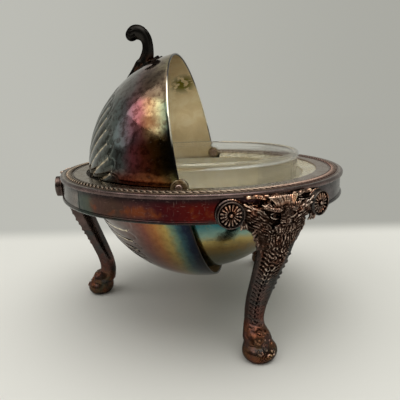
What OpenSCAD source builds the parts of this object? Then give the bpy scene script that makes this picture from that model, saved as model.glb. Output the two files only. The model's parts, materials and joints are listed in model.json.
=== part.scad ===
// Roll-top serving dish on three lion-mask legs: a hemispherical dome turns about
// two side pivots and drops behind a fixed silver bowl that holds a glass liner.
// +Z is up, -Y is the open front, the dome turns about X, and the origin is on the
// floor under the centre of the ring.

/* [Ring] */
// Outer diameter of the lip round the flange
ring_d = 152; // [140:1:165]
// Height of the top of the flange above the floor
ring_height = 81; // [78:0.5:86]
// Diameter of the opening in the flange
opening_d = 125.6; // [125.2:0.2:127]
// Height of the skirt band under the flange, with the flange
skirt_h = 12.3; // [10:0.1:14]
// Thickness of the flange sheet
flange_t = 1.2; // [1:0.1:1.6]

/* [Bowl and liner] */
// Outer radius of the fixed bowl
bowl_r = 56.8; // [56.4:0.1:57]
// Thickness of the bowl sheet
bowl_t = 0.8; // [0.6:0.1:1]
// Outer radius of the rim of the glass liner
glass_rim_r = 53.8; // [52.5:0.1:54]
// Height of the rim of the glass liner above the flange
glass_rise = 8.7; // [6:0.1:9]
// Thickness of the glass
glass_t = 2.4; // [2:0.1:3]

/* [Dome] */
// Outer radius of the dome
dome_r = 61.3; // [61.1:0.1:61.5]
// Thickness of the dome sheet
dome_t = 0.9; // [0.7:0.1:1]
// How far the dome is turned back from closed
dome_open = 100.5; // [0:0.5:144.5]
// Angle of the thumbpiece above the front of the dome's rim
thumb_angle = 16.5; // [14:0.5:20]
// Thickness of the thumbpiece's stem
thumb_t = 5.6; // [4:0.1:7]

/* [Legs] */
// Angle of each front leg from the front
front_leg_angle = 58.3; // [55:0.1:62]
// Angle of each rosette from the middle of its mask
rosette_angle = 16; // [14:0.5:18]
// Radius of a rosette with its cuff
rosette_r = 5.4; // [4:0.1:6]

/* [Hidden] */
$fn = 96;

// ring
lip_r = ring_d / 2;
lip_drop = 0.7;
band_r = lip_r - 1;
band_t = 0.8;
open_r = opening_d / 2;
band_low = ring_height - skirt_h;
bead_r = 0.8;
bead_clear = 21.5;
rope_in = lip_r - 6.8;
rope_out = lip_r - 2.2;
rope_h = 0.9;

// bowl and its collar
bowl_in_r = bowl_r - bowl_t;
bowl_drop = 3.2;
collar_span = 170;
collar_rise = 0.6;

// glass liner
glass_gap = 0.3;
glass_body_r = glass_rim_r - 1.1;
glass_centre = ring_height - bowl_in_r + glass_gap + glass_body_r;
glass_top = ring_height + glass_rise;
glass_bead = (glass_t + 1.1) / 2;

// pivots, measured along X from the middle
pivot_r = 1.2;
running_gap = 0.06;
fixed_gap = 0.02;
tab_r = 3.5;
tab_in = dome_r - dome_t + 0.05;
tab_out = dome_r - 0.2;
lug_in = dome_r - 2.1;
lug_out = dome_r - 1.02;
ear_in = 61.8;
ear_out = 63.2;
ear_rim = 0.5;
ear_r = 3.6;
washer_r = 2.3;
washer_gap = 0.05;
screw_head_r = 1.6;
screw_head_t = 1.2;
nut_in = 57.7;
nut_out = 59.1;
nut_r = 2.6;

// thumbpiece
dome_in_r = dome_r - dome_t;
thumb_plate_t = 1.1;
thumb_screw_angle = thumb_angle - 3;
thumb_screw_head_r = 2.6;
thumb_screw_head_t = 1.2;
thumb_screw_depth = 5;

// legs
leg_angles = [270 - front_leg_angle, 270 + front_leg_angle, 90];
mask_top = ring_height - 1.4;
rosette_z = ring_height - 8;
rosette_out = lip_r + 3.6;
leg_screw_r = 1.5;
leg_screw_z = ring_height - 6.5;
leg_screw_head_r = 2.8;
leg_screw_head_t = 1.8;
leg_screw_depth = 2.6;

// x along the radius, y up: the side view of a leg from the sole to the mask's brow
leg_side = [
    [62.5, 0], [72.5, 0], [74, 1.6], [73.9, 4.6], [72.6, 7.8], [69.6, 10.2], [66.6, 12.4],
    [65, 15.4], [64.8, 19.4], [66, 25.4], [69, 33.4], [73, 42], [76.8, 49], [79.4, 55],
    [81, 61], [81.4, 67], [80, 73], [77.6, mask_top], [75.2, mask_top], [75.2, band_low],
    [73, 63.5], [68, 51], [63.4, 39], [59.4, 29], [56.8, 22], [55.8, 16], [56.2, 11],
    [58, 7.2], [60.4, 3.4]
];
// x across, y up: half of the front view of a leg
leg_half = [
    [0, 0], [6.4, 0], [8.6, 1.8], [9, 5], [8.2, 8.4], [5.8, 11.4], [4.4, 14], [4.2, 17],
    [4.8, 22], [6, 30], [6.8, 38], [7.8, 46], [9.4, 54], [12.4, 61], [16, 66], [17.4, 70],
    [17, mask_top], [0, mask_top]
];
// x up the dome, y out from it: the side view of the thumbpiece's curled stem
thumb_side = [
    [14.2, -3], [14, 0.6], [8.8, 3], [4.2, 4.5], [0.6, 6.2], [-1.8, 8.2], [-2.9, 10.4],
    [-2.8, 12.8], [-1.4, 15], [1, 16.4], [1.9, 18.4], [0.8, 20.6], [-1.8, 21.8],
    [-4.8, 21.5], [-7.4, 19.4], [-9, 16.4], [-9.2, 12], [-8.2, 7.6], [-6.4, 3.4],
    [-5.6, -3]
];

// points on an arc, by centre, radius and the angles that it runs between
function arc(centre, r, from, to, steps) = [
    for (i = [0 : steps])
        let (a = from + (to - from) * i / steps)
        centre + r * [cos(a), sin(a)]
];

// a cylinder along +X on the pivot axis, from one distance from the middle to another
module on_pivot(from, to, r, sides = 96) {
    translate([from, 0, ring_height])
        rotate([0, 90, 0])
            cylinder(h = to - from, r = r, $fn = sides);
}

// turns what is drawn closed about the pivot axis to how the dome stands
module opened() {
    translate([0, 0, ring_height])
        rotate([-dome_open, 0, 0])
            translate([0, 0, -ring_height])
                children();
}

// puts what is drawn along +Z from the dome's centre at an angle above the front rim
module on_dome(angle) {
    translate([0, 0, ring_height])
        rotate([90 - angle, 0, 0])
            children();
}

module right_of_left(side) {
    mirror([side < 0 ? 1 : 0, 0, 0])
        children();
}

// ---- ring ----

module top_flange() {
    color("rosybrown")
        difference() {
            translate([0, 0, ring_height])
                rotate_extrude($fn = 160)
                    polygon([
                        [open_r, -flange_t], [lip_r - 0.9, -flange_t],
                        [lip_r - 0.6, -flange_t - lip_drop], [lip_r, -flange_t - lip_drop],
                        [lip_r, -0.5], [lip_r - 0.5, 0], [open_r, 0]
                    ]);
            // relief for the heads of the pivot screws
            for (side = [-1, 1])
                right_of_left(side)
                    on_pivot(open_r - 1, ear_out + screw_head_t + 0.6, screw_head_r + 0.2);
        }
}

module rope_border() {
    color("wheat")
        translate([0, 0, ring_height])
            rotate_extrude($fn = 160)
                polygon([
                    [rope_in, 0], [rope_out, 0], [rope_out - 0.9, rope_h],
                    [rope_in + 0.9, rope_h]
                ]);
}

module skirt_band() {
    color("firebrick")
        difference() {
            translate([0, 0, band_low])
                cylinder(h = skirt_h - flange_t, r = band_r, $fn = 160);
            translate([0, 0, band_low - 1])
                cylinder(h = skirt_h + 2, r = band_r - band_t, $fn = 160);
            leg_screw_holes(band_r - band_t - 1, band_r + 1);
        }
}

// the wire under the band, in lengths that run from leg to leg
module lower_bead() {
    color("indianred")
        for (i = [0 : len(leg_angles) - 1])
            let (from = leg_angles[i] + bead_clear,
                 next = leg_angles[(i + 1) % len(leg_angles)],
                 span = (next - from + 720) % 360 - bead_clear)
                translate([0, 0, band_low + bead_r])
                    rotate([0, 0, from])
                        rotate_extrude(angle = span, $fn = 160)
                            polygon(arc([band_r, 0], bead_r, -90, 90, 12));
}

// ---- fixed bowl ----

module bowl_shell() {
    color("darkcyan")
        difference() {
            translate([0, 0, ring_height])
                sphere(r = bowl_r, $fn = 128);
            translate([0, 0, ring_height])
                sphere(r = bowl_in_r, $fn = 128);
            translate([0, 0, ring_height - bowl_drop + bowl_r])
                cube(2 * bowl_r, center = true);
        }
}

// the sloping half ring that joins the front of the bowl to the flange
module bowl_collar() {
    rim_in = sqrt(bowl_in_r * bowl_in_r - bowl_drop * bowl_drop);
    rim_out = sqrt(bowl_r * bowl_r - bowl_drop * bowl_drop);
    color("beige")
        translate([0, 0, ring_height])
            rotate([0, 0, 270 - collar_span / 2])
                rotate_extrude(angle = collar_span, $fn = 160)
                    polygon([
                        [rim_in, -bowl_drop], [rim_out, -bowl_drop],
                        [open_r, -collar_rise - bowl_t], [open_r, -collar_rise],
                        [rim_in, -bowl_drop + bowl_t]
                    ]);
}

// ---- legs ----

module leg_screw_holes(from, to) {
    for (angle = leg_angles)
        rotate([0, 0, angle])
            translate([from, 0, leg_screw_z])
                rotate([0, 90, 0])
                    cylinder(h = to - from, r = leg_screw_r + fixed_gap);
}

module leg_outline() {
    intersection() {
        rotate([90, 0, 0])
            linear_extrude(height = 50, center = true)
                polygon(leg_side);
        rotate([90, 0, 90])
            linear_extrude(height = 100)
                union() {
                    polygon(leg_half);
                    mirror([1, 0])
                        polygon(leg_half);
                }
    }
}

module rosettes() {
    for (side = [-1, 1])
        rotate([0, 0, side * rosette_angle])
            translate([band_r - 3, 0, rosette_z])
                rotate([0, 90, 0])
                    cylinder(h = rosette_out - band_r + 3, r = rosette_r);
}

module leg(angle) {
    color("saddlebrown")
        difference() {
            rotate([0, 0, angle])
                union() {
                    leg_outline();
                    rosettes();
                }
            translate([0, 0, band_low])
                cylinder(h = skirt_h + 1, r = band_r, $fn = 160);
            translate([0, 0, ring_height - flange_t - lip_drop - 0.05])
                cylinder(h = 5, r = lip_r, $fn = 160);
            leg_screw_holes(band_r - 1, band_r + leg_screw_depth);
        }
}

module leg_front_left() { leg(leg_angles[0]); }
module leg_front_right() { leg(leg_angles[1]); }
module leg_back() { leg(leg_angles[2]); }

// one screw from inside the band into each mask
module leg_screws() {
    head_seat = band_r - band_t;
    color("dimgray")
        for (angle = leg_angles)
            rotate([0, 0, angle])
                translate([0, 0, leg_screw_z])
                    rotate([0, 90, 0])
                        union() {
                            translate([0, 0, head_seat - 0.1])
                                cylinder(h = leg_screw_depth + band_t - 0.1, r = leg_screw_r);
                            translate([0, 0, head_seat - leg_screw_head_t - 0.1])
                                cylinder(h = leg_screw_head_t, r = leg_screw_head_r);
                        }
}

// ---- pivots ----

module pivot_ear(side) {
    color("tan")
        right_of_left(side)
            difference() {
                union() {
                    on_pivot(ear_in, ear_out, ear_r);
                    on_pivot(ear_out, ear_out + ear_rim, ear_r);
                }
                on_pivot(ear_out, ear_out + ear_rim + 1, ear_r - 0.7);
                on_pivot(ear_in - 1, ear_out + 1, pivot_r + fixed_gap);
                // the flange that the ear stands on
                translate([0, 0, ring_height - 20])
                    difference() {
                        cylinder(h = 20, r = lip_r, $fn = 160);
                        translate([0, 0, -1])
                            cylinder(h = 22, r = open_r, $fn = 160);
                    }
            }
}

module pivot_ear_left() { pivot_ear(-1); }
module pivot_ear_right() { pivot_ear(1); }

module pivot_screw(side) {
    color("lightpink")
        right_of_left(side)
            difference() {
                union() {
                    on_pivot(nut_in, ear_out, pivot_r);
                    on_pivot(ear_out, ear_out + screw_head_t, screw_head_r);
                }
                // driver slot
                translate([ear_out + screw_head_t, 0, ring_height])
                    cube([1, 0.5, 2 * screw_head_r + 1], center = true);
            }
}

module pivot_screw_left() { pivot_screw(-1); }
module pivot_screw_right() { pivot_screw(1); }

module pivot_washers() {
    color("gainsboro")
        for (side = [-1, 1])
            right_of_left(side)
                difference() {
                    on_pivot(dome_r + washer_gap, ear_in - washer_gap, washer_r);
                    on_pivot(dome_r - 1, ear_in + 1, pivot_r + fixed_gap);
                }
}

module pivot_nuts() {
    color("darkgray")
        for (side = [-1, 1])
            right_of_left(side)
                difference() {
                    on_pivot(nut_in, nut_out, nut_r, 6);
                    on_pivot(nut_in - 1, nut_out + 1, pivot_r + fixed_gap);
                }
}

// ---- dome ----

module dome_shell() {
    color("rebeccapurple")
        opened()
            difference() {
                union() {
                    difference() {
                        translate([0, 0, ring_height])
                            sphere(r = dome_r, $fn = 128);
                        translate([0, 0, ring_height])
                            sphere(r = dome_in_r, $fn = 128);
                        translate([0, 0, ring_height - dome_r])
                            cube(2 * dome_r, center = true);
                    }
                    // the tabs that hang below the rim at the pivots
                    for (side = [-1, 1])
                        right_of_left(side)
                            on_pivot(tab_in, tab_out, tab_r);
                }
                on_pivot(-dome_r - 1, dome_r + 1, pivot_r + running_gap);
                on_dome(thumb_screw_angle)
                    translate([0, 0, dome_in_r - 2])
                        cylinder(h = 6, r = pivot_r + fixed_gap);
            }
}

module dome_lug(side) {
    color("silver")
        opened()
            right_of_left(side)
                difference() {
                    on_pivot(lug_in, lug_out, tab_r);
                    on_pivot(lug_in - 1, dome_r + 1, pivot_r + running_gap);
                }
}

module dome_lug_left() { dome_lug(-1); }
module dome_lug_right() { dome_lug(1); }

// the leaf-shaped foot of the thumbpiece, seen from above the dome
module thumb_leaf() {
    scale_steps = 24;
    polygon([
        for (i = [0 : scale_steps - 1])
            let (a = 360 * i / scale_steps,
                 reach = cos(a) > 0 ? 14.4 : 9)
            [reach * cos(a), 7.2 * sin(a) * (1 - 0.42 * max(0, cos(a)))]
    ]);
}

module thumbpiece() {
    color("darkslategray")
        opened()
            difference() {
                on_dome(thumb_angle)
                    union() {
                        // stem
                        rotate([90, 0, 90])
                            linear_extrude(height = thumb_t, center = true)
                                translate([0, dome_r])
                                    polygon(thumb_side);
                        // foot
                        intersection() {
                            sphere(r = dome_r + thumb_plate_t, $fn = 128);
                            translate([0, 0, dome_r - 10])
                                linear_extrude(height = 16)
                                    rotate([0, 0, 90])
                                        thumb_leaf();
                        }
                    }
                translate([0, 0, ring_height])
                    sphere(r = dome_r, $fn = 128);
                on_dome(thumb_screw_angle)
                    cylinder(h = dome_r + thumb_screw_depth, r = pivot_r + fixed_gap);
            }
}

module thumbpiece_screw() {
    head_seat = dome_in_r - 0.15;
    color("gray")
        opened()
            on_dome(thumb_screw_angle)
                union() {
                    translate([0, 0, head_seat])
                        cylinder(h = thumb_screw_depth + dome_t, r = pivot_r);
                    translate([0, 0, head_seat - thumb_screw_head_t])
                        cylinder(h = thumb_screw_head_t, r = thumb_screw_head_r);
                }
}

// ---- glass liner ----

module glass_liner() {
    rim_centre = [glass_rim_r - glass_bead, glass_top - glass_bead];
    color("lightcyan", 0.5)
        rotate_extrude($fn = 160)
            polygon(concat(
                arc([0, glass_centre], glass_body_r, -90, 0, 30),
                arc(rim_centre, glass_bead, -50, 230, 20),
                arc([0, glass_centre], glass_body_r - glass_t, 0, -90, 30)
            ));
}

top_flange();
rope_border();
skirt_band();
lower_bead();
bowl_shell();
bowl_collar();
leg_front_left();
leg_front_right();
leg_back();
leg_screws();
pivot_ear_left();
pivot_ear_right();
pivot_screw_left();
pivot_screw_right();
pivot_washers();
pivot_nuts();
dome_shell();
dome_lug_left();
dome_lug_right();
thumbpiece();
thumbpiece_screw();
glass_liner();
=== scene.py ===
"""Looks of a roll-top sugar bowl: tarnished silver plate on three cast legs with animal masks."""

import json
import math

import bmesh
import bpy
import numpy as np
import openvdb
from mathutils import Matrix, Vector


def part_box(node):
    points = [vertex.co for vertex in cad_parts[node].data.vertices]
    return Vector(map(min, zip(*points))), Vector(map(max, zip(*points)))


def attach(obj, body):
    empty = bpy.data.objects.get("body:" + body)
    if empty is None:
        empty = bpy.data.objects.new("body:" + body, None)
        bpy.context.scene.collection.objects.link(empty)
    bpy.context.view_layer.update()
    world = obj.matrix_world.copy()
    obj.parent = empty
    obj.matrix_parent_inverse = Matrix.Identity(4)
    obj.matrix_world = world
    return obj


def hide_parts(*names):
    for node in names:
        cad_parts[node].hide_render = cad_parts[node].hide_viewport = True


# Lengths are in millimetres in this script, and meshes are scaled to metres as they are made.
MM = 0.001

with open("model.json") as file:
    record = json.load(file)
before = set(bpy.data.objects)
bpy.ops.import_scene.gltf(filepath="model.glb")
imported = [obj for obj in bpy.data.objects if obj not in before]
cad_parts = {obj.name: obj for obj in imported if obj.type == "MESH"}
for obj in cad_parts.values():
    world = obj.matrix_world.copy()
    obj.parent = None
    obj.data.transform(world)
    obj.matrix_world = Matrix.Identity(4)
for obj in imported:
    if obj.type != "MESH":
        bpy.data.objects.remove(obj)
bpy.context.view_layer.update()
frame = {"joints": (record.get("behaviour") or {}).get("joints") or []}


def cad_box(node):
    """A CAD node's lowest and highest corner, in millimetres."""
    low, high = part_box(node)
    return low / MM, high / MM


# ---- places: from the frame where it gives them, and otherwise part.scad's own lengths ----

flange_high = cad_box("top_flange")[1]
RING_TOP, LIP_R = flange_high.z, flange_high.x
FLANGE_T = 1.2
OPEN_R = 62.8
band_low, band_high = cad_box("skirt_band")
BAND_R, BAND_LOW, BAND_HIGH = band_high.x, band_low.z, band_high.z
BAND_T = 0.8
ROPE_OUT = cad_box("rope_border")[1].x
ROPE_IN = ROPE_OUT - 4.6
bowl_low, bowl_high = cad_box("bowl_shell")
BOWL_R, BOWL_RIM = RING_TOP - bowl_low.z, bowl_high.z
BOWL_T = 0.8
glass_low, glass_high = cad_box("glass_liner")
GLASS_RIM_R, GLASS_TOP, GLASS_LOW = glass_high.x, glass_high.z, glass_low.z
GLASS_T = 2.4
DOME_R = 61.3
DOME_T = 0.9
LEG_ANGLES = {"front_left": 211.7, "front_right": 328.3, "back": 90.0}
LEG_SCREW_Z = RING_TOP - 6.5
ROSETTE_ANGLE = 15.7
ROSETTE_Z = RING_TOP - 8
THUMB_ANGLE = 16.5
SIDES = (("left", -1), ("right", 1))

# distances out along the pivot axis
SHANK_END, NUT_OUT = 57.7, 59.1
LUG_IN, LUG_OUT = 59.2, 60.28
TAB_IN, TAB_OUT = 60.4, 61.12
WASHER_OUT, EAR_IN = 61.75, 61.8
EAR_FACE, EAR_OUT = 63.2, 63.7
HEAD_EDGE, HEAD_OUT = 64.1, 64.4
PIVOT_R = 1.2
EAR_R = 3.6

dome_joint = next(j for j in frame["joints"] if j["name"] == "dome_turn")
OPENED = -dome_joint["range_deg"][0]
CENTRE = Vector((0, 0, RING_TOP))
# turns what is drawn with the dome closed to how the dome stands at rest
SWING = Matrix.Rotation(math.radians(-OPENED), 4, "X")
TO_OPEN = Matrix.Translation(CENTRE) @ SWING @ Matrix.Translation(-CENTRE)
# the dome's pole as it stands, from its centre
POLE = Vector((0, math.sin(math.radians(OPENED)), math.cos(math.radians(OPENED))))


# ---- mesh helpers ----

# the angle in degrees above which an edge is sharp
CREASE = 40.0
SMOOTH = 180.0


def linked(name, data):
    """An object in the scene for a mesh, a light or a camera."""
    obj = bpy.data.objects.new(name, data)
    bpy.context.scene.collection.objects.link(obj)
    return obj


def make_object(name, points, faces, crease=CREASE, where=None):
    """A smooth-shaded mesh object from points in millimetres, with edges sharp above an angle."""
    mesh = bpy.data.meshes.new(name)
    points = np.asarray(points, float) * MM
    faces = faces if isinstance(faces, list) else faces.tolist()
    mesh.from_pydata(points.tolist(), [], faces)
    shape = bmesh.new()
    shape.from_mesh(mesh)
    bmesh.ops.remove_doubles(shape, verts=shape.verts, dist=1e-7)
    bmesh.ops.delete(shape, geom=[e for e in shape.edges if not e.link_faces], context="EDGES")
    bmesh.ops.delete(shape, geom=[v for v in shape.verts if not v.link_faces], context="VERTS")
    bmesh.ops.recalc_face_normals(shape, faces=shape.faces)
    shape.to_mesh(mesh)
    shape.free()
    if where is not None:
        mesh.transform(scaled(where))
    mesh.shade_smooth()
    mesh.set_sharp_from_angle(angle=math.radians(crease))
    return linked(name, mesh)


def scaled(matrix):
    """A matrix drawn up in millimetres, for meshes in metres."""
    out = matrix.copy()
    out.translation = out.translation * MM
    return out


def arc(x, y, r, start, end, steps):
    """Points on an arc, by centre, radius and the angles that it runs between."""
    turns = np.radians(np.linspace(start, end, steps + 1))
    return [(x + r * math.cos(t), y + r * math.sin(t)) for t in turns]


def rounded(outline, r):
    """A closed outline with its corners rounded off."""
    out = []
    count = len(outline)
    for i in range(count):
        before, corner, after = (np.array(outline[(i + k) % count], float) for k in (-1, 0, 1))
        back, on = before - corner, after - corner
        reach = min(r, 0.45 * np.linalg.norm(back), 0.45 * np.linalg.norm(on))
        a = corner + back / np.linalg.norm(back) * reach
        b = corner + on / np.linalg.norm(on) * reach
        for t in np.linspace(0, 1, 4):
            out.append(tuple((1 - t) ** 2 * a + 2 * t * (1 - t) * corner + t * t * b))
    return out


def ring_outline(inner, outer, low, high, r):
    """The outline of a flat ring with rounded edges."""
    return rounded([(inner, low), (outer, low), (outer, high), (inner, high)], r)


def lathe(name, outline, steps=240, start=0.0, span=360.0, crease=CREASE, where=None):
    """A closed outline of (radius, height) points turned about Z; part of a turn has flat ends."""
    outline = np.asarray(outline, float)
    count = len(outline)
    whole = span >= 360
    rings = steps if whole else steps + 1
    turn = np.radians(start + span * np.arange(rings) / steps)
    points = np.empty((rings, count, 3))
    points[..., 0] = np.cos(turn)[:, None] * outline[:, 0]
    points[..., 1] = np.sin(turn)[:, None] * outline[:, 0]
    points[..., 2] = outline[:, 1]
    faces = grid_faces(steps, count, rings)
    if not whole:
        faces += [list(range(count)), list(range(steps * count, rings * count))]
    return make_object(name, points.reshape(-1, 3), faces, crease, where)


def grid_faces(rows, columns, row_count):
    """Quads between rows of points; each row is a loop, and the last row may join the first."""
    i = np.arange(rows)[:, None] * columns
    k = (np.arange(rows)[:, None] + 1) % row_count * columns
    j = np.arange(columns)[None, :]
    n = (j + 1) % columns
    return np.stack([i + j, k + j, k + n, i + n], -1).reshape(-1, 4).tolist()


def on_pivot(side):
    """Turns +Z to point outwards along the pivot axis, on one side."""
    return Matrix.Translation(CENTRE) @ Matrix.Rotation(math.radians(90 * side), 4, "Y")


def on_dome(angle):
    """Turns +Z to point out of the closed dome above the front of its rim, and opens it."""
    return TO_OPEN @ Matrix.Translation(CENTRE) @ Matrix.Rotation(math.radians(90 - angle), 4, "X")


def on_leg(angle):
    """Turns +X to point outwards at a leg."""
    return Matrix.Rotation(math.radians(angle), 4, "Z")


def slot_cutter(low, high, where):
    """A closed box, to cut a screw's slot with."""
    xs, ys, zs = zip(low, high)
    corners = [(x, y, z) for x in xs for y in ys for z in zs]
    faces = [[0, 1, 3, 2], [4, 6, 7, 5], [0, 4, 5, 1], [2, 3, 7, 6], [0, 2, 6, 4], [1, 5, 7, 3]]
    return make_object("slot", corners, faces, where=where)


def cut(obj, cutter):
    """Takes one closed shape out of another, and removes the cutter."""
    modifier = obj.modifiers.new("cut", "BOOLEAN")
    modifier.operation = "DIFFERENCE"
    modifier.solver = "EXACT"
    modifier.object = cutter
    bpy.context.view_layer.update()
    graph = bpy.context.evaluated_depsgraph_get()
    mesh = bpy.data.meshes.new_from_object(obj.evaluated_get(graph))
    obj.modifiers.remove(modifier)
    obj.data = mesh
    bpy.data.objects.remove(cutter)
    mesh.shade_smooth()
    mesh.set_sharp_from_angle(angle=math.radians(CREASE))
    return obj


def joined(name, objects):
    """Several meshes as one piece."""
    shape = bmesh.new()
    for obj in objects:
        shape.from_mesh(obj.data)
        bpy.data.objects.remove(obj)
    mesh = bpy.data.meshes.new(name)
    shape.to_mesh(mesh)
    shape.free()
    return linked(name, mesh)


def keep(obj, body, slot, *nodes):
    """Puts a piece's material in its slot, gives it its body, and hides the CAD nodes that it
    stands for.
    """
    obj.data.materials.clear()
    obj.data.materials.append(MATERIALS[slot])
    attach(obj, body)
    if nodes:
        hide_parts(*nodes)


# ---- clay: solids as signed distances on a grid ----

class Clay:
    """A solid held as signed distances in millimetres, shaped part by part."""

    FAR = 4.0
    MARGIN = 1.2

    def __init__(self, low, high, step):
        self.low = np.array(low, float)
        self.step = step
        self.size = np.ceil((np.array(high) - self.low) / step).astype(int) + 1
        self.far = np.full(self.size, self.FAR, np.float32)

    def window(self, low, high):
        """The slices of the grid between two corners, and the coordinates of their points."""
        first = np.floor((np.array(low) - self.low) / self.step).astype(int)
        last = np.ceil((np.array(high) - self.low) / self.step).astype(int) + 1
        first = np.clip(first, 0, self.size - 1)
        last = np.clip(last, first + 1, self.size)
        axes = [self.low[k] + self.step * np.arange(first[k], last[k]) for k in range(3)]
        part = tuple(slice(a, b) for a, b in zip(first, last))
        x, y, z = np.meshgrid(*axes, indexing="ij", sparse=True)
        return part, x, y, z

    def everywhere(self):
        """The whole grid, as a window."""
        return self.window(self.low, self.low + self.size * self.step)

    def comb(self, part, strength, groove, ridge, wave):
        """Lowers the surface by a groove, and raises it by a ridge times a wave."""
        self.far[part] += (strength * (groove - ridge * wave)).astype(np.float32)

    def keep_within(self, distance):
        """Cuts away all that lies outside a shape that fills the grid."""
        self.far = np.maximum(self.far, distance.astype(np.float32))

    def put(self, part, distance, blend, cutting=False):
        """Adds or takes away a shape with a soft seam."""
        ours = self.far[part]
        sign = -1.0 if cutting else 1.0
        near = np.maximum(blend - np.abs(sign * ours - distance), 0) / blend
        joined = np.minimum(sign * ours, distance) - near * near * blend / 4
        self.far[part] = sign * joined

    def ball(self, centre, radii, blend=0.8, cutting=False):
        centre = np.array(centre, float)
        radii = np.array(radii, float) * np.ones(3)
        margin = blend + self.MARGIN
        part, x, y, z = self.window(centre - radii - margin, centre + radii + margin)
        offsets = [x - centre[0], y - centre[1], z - centre[2]]
        near = np.sqrt(sum((o / r) ** 2 for o, r in zip(offsets, radii))) + 1e-9
        slope = np.sqrt(sum((o / r ** 2) ** 2 for o, r in zip(offsets, radii))) + 1e-9
        self.put(part, near * (near - 1) / slope, blend, cutting)

    def rod(self, a, b, ra, rb, blend=0.5, cutting=False):
        """A round-ended rod that may taper."""
        a, b = np.array(a, float), np.array(b, float)
        margin = max(ra, rb) + blend + self.MARGIN
        part, x, y, z = self.window(np.minimum(a, b) - margin, np.maximum(a, b) + margin)
        along = b - a
        offsets = [x - a[0], y - a[1], z - a[2]]
        t = np.clip(sum(o * d for o, d in zip(offsets, along)) / (along @ along), 0, 1)
        away = sum((o - t * d) ** 2 for o, d in zip(offsets, along))
        self.put(part, np.sqrt(away) - (ra + t * (rb - ra)), blend, cutting)

    def lock(self, points, ra, rb, blend=0.3, steps=8, cutting=False):
        """A tapering lock along a smooth curve through its points."""
        line = curve_through(points, steps)
        radii = np.linspace(ra, rb, len(line))
        for i in range(len(line) - 1):
            self.rod(line[i], line[i + 1], radii[i], radii[i + 1], blend, cutting)

    def drum(self, height, angle, r, low, high, blend=0.3, cutting=False):
        """A level cylinder that points away from the Z axis, with ends at two distances from it."""
        c, s = math.cos(math.radians(angle)), math.sin(math.radians(angle))
        ends = np.array([[low * c, low * s, height], [high * c, high * s, height]])
        margin = r + blend + self.MARGIN
        part, x, y, z = self.window(ends.min(0) - margin, ends.max(0) + margin)
        along = x * c + y * s
        away = np.sqrt((y * c - x * s) ** 2 + (z - height) ** 2) - r
        self.put(part, np.maximum(away, np.maximum(along - high, low - along)), blend, cutting)

    def skin(self, lateral, height):
        """How far out the surface is on a level line that runs straight in."""
        row, layer = np.rint((np.array([lateral, height]) - self.low[1:]) / self.step).astype(int)
        solid = np.nonzero(self.far[:, row, layer] < 0)[0]
        return self.low[0] + self.step * (solid[-1] + 0.5)

    def curl(self, lateral, height, r, wire, start=0.0):
        """A spiral of wire laid on the surface."""
        line = []
        for t in np.linspace(0, 5.0, 10):
            wide = r - 0.17 * r * t
            spot = (lateral + wide * math.cos(t + start), height + wide * math.sin(t + start))
            line.append((self.skin(*spot) + 0.1, *spot))
        self.lock(line, wire, 0.6 * wire, 0.2, 3)

    def mesh(self, name, where=None):
        """The solid's surface as a mesh, with how much each point stands proud as an attribute."""
        grid = openvdb.FloatGrid(self.FAR)
        grid.copyFromArray(np.clip(self.far, -self.FAR, self.FAR).astype(np.float32))
        points, quads = grid.convertToQuads(isovalue=0.0)
        quads = largest_piece(len(points), quads)
        obj = make_object(name, points * self.step + self.low, quads, SMOOTH)
        spots = np.array([v.co for v in obj.data.vertices]) / MM
        nearest = np.rint((spots - self.low) / self.step).astype(int)
        nearest = np.clip(nearest, 0, self.size - 1)
        proud = softened(self.far, 3)[tuple(nearest.T)]
        set_attribute(obj.data, "proud", proud)
        if where is not None:
            obj.data.transform(scaled(where))
        return obj


def set_attribute(mesh, name, values):
    """A number at each point of a mesh, for its material to read."""
    attribute = mesh.attributes.new(name, "FLOAT", "POINT")
    attribute.data.foreach_set("value", values.astype(np.float32))


def largest_piece(count, quads):
    """The faces of the largest connected surface, without stray crumbs or bubbles."""
    label = np.arange(count)
    while True:
        before = label.copy()
        np.minimum.at(label, quads.ravel(), np.repeat(label[quads].min(axis=1), 4))
        label = label[label]
        if (label == before).all():
            break
    pieces, sizes = np.unique(label[quads[:, 0]], return_counts=True)
    return quads[label[quads[:, 0]] == pieces[np.argmax(sizes)]]


def softened(field, passes):
    """A field averaged with its neighbours, pass after pass."""
    for _ in range(passes):
        for axis in range(3):
            field = (np.roll(field, 1, axis) + field + np.roll(field, -1, axis)) / 3
    return field


def curve_through(points, steps):
    """A smooth curve through points, Catmull-Rom, with a number of steps between each two."""
    p = np.array(points, float)
    p = np.vstack([2 * p[0] - p[1], p, 2 * p[-1] - p[-2]])
    out = []
    for i in range(1, len(p) - 2):
        for t in np.arange(steps) / steps:
            a = 2 * p[i]
            b = (p[i + 1] - p[i - 1]) * t
            c = (2 * p[i - 1] - 5 * p[i] + 4 * p[i + 1] - p[i + 2]) * t ** 2
            d = (3 * p[i] - p[i - 1] - 3 * p[i + 1] + p[i + 2]) * t ** 3
            out.append((a + b + c + d) / 2)
    out.append(p[-2])
    return np.array(out)


def ease(value, width):
    """From 0 to 1 as a value goes from 0 to a width."""
    return np.clip(value / width, 0, 1)


def profile(height, heights, values):
    """Values along a height, with the corners between them smoothed."""
    shifts = np.linspace(-2, 2, 9)
    return sum(np.interp(height + s, heights, values) for s in shifts) / len(shifts)


# ---- materials ----

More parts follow.
